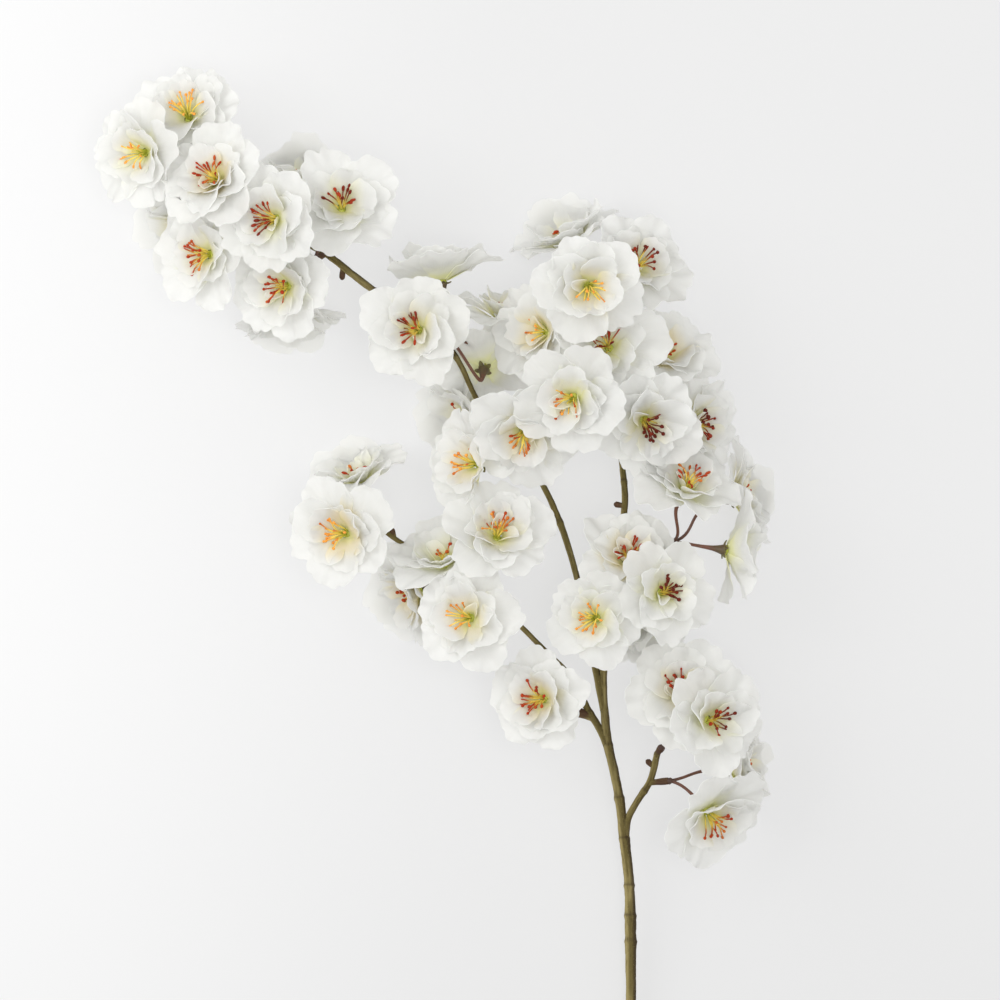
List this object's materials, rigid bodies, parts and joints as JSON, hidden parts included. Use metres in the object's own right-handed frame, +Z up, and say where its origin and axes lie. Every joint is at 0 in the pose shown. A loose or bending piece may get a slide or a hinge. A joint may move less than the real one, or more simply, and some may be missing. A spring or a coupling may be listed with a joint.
{
  "type": "apple blossom stem",
  "caption": "Cut, forked branch with clusters of semi-double white blooms on short stalks, made to lie on a surface or to stand in a vase.",
  "frame": {"origin": "on the table, under the middle of the bounding box of the stem as it lies", "axes": "+Y from the cut end towards the flowering tips, +Z up from the table, +X to the right as seen from above with the tips away"},
  "size_m": [0.3388, 0.5388, 0.1032],
  "materials": {
    "bark": "matt olive-brown bark with fine grain and raised node rings",
    "stalk_and_stamen": "matt, green to red-brown, with orange-red anthers",
    "petal": "soft, slightly translucent white with a yellow-green throat and fine veins"
  },
  "bodies": {
    "root": {"bloom_a1": "petal", "bloom_a10": "petal", "bloom_a2": "petal", "bloom_a3": "petal", "bloom_a4": "petal", "bloom_a5": "petal", "bloom_a6": "petal", "bloom_a7": "petal", "bloom_a8": "petal", "bloom_a9": "petal", "bloom_b1": "petal", "bloom_b2": "petal", "bloom_b3": "petal", "bloom_b4": "petal", "bloom_b5": "petal", "bloom_b6": "petal", "bloom_b7": "petal", "bloom_c1": "petal", "bloom_c11": "petal", "bloom_c12": "petal", "bloom_c13": "petal", "bloom_c2": "petal", "bloom_c3": "petal", "bloom_c4": "petal", "bloom_c5": "petal", "bloom_c6": "petal", "bloom_c7": "petal", "bloom_c8": "petal", "bloom_c9": "petal", "bloom_d1": "petal", "bloom_d2": "petal", "bloom_d3": "petal", "bloom_d4": "petal", "bloom_e1": "petal", "bloom_e2": "petal", "bloom_e3": "petal", "bloom_e4": "petal", "bloom_f1": "petal", "bloom_f2": "petal", "bloom_f3": "petal", "bloom_f4": "petal", "bloom_f5": "petal", "bloom_f6": "petal", "bloom_f7": "petal", "branch": "bark", "corymb_arch": "stalk_and_stamen", "corymb_bend": "stalk_and_stamen", "corymb_crown": "stalk_and_stamen", "corymb_elbow": "stalk_and_stamen", "corymb_heart": "stalk_and_stamen", "corymb_hook": "stalk_and_stamen", "corymb_inner": "stalk_and_stamen", "corymb_left": "stalk_and_stamen", "corymb_low": "stalk_and_stamen", "corymb_middle": "stalk_and_stamen", "corymb_neck": "stalk_and_stamen", "corymb_shoulder": "stalk_and_stamen", "corymb_side": "stalk_and_stamen", "corymb_stub": "stalk_and_stamen", "corymb_tip": "stalk_and_stamen"}
  },
  "joints": []
}
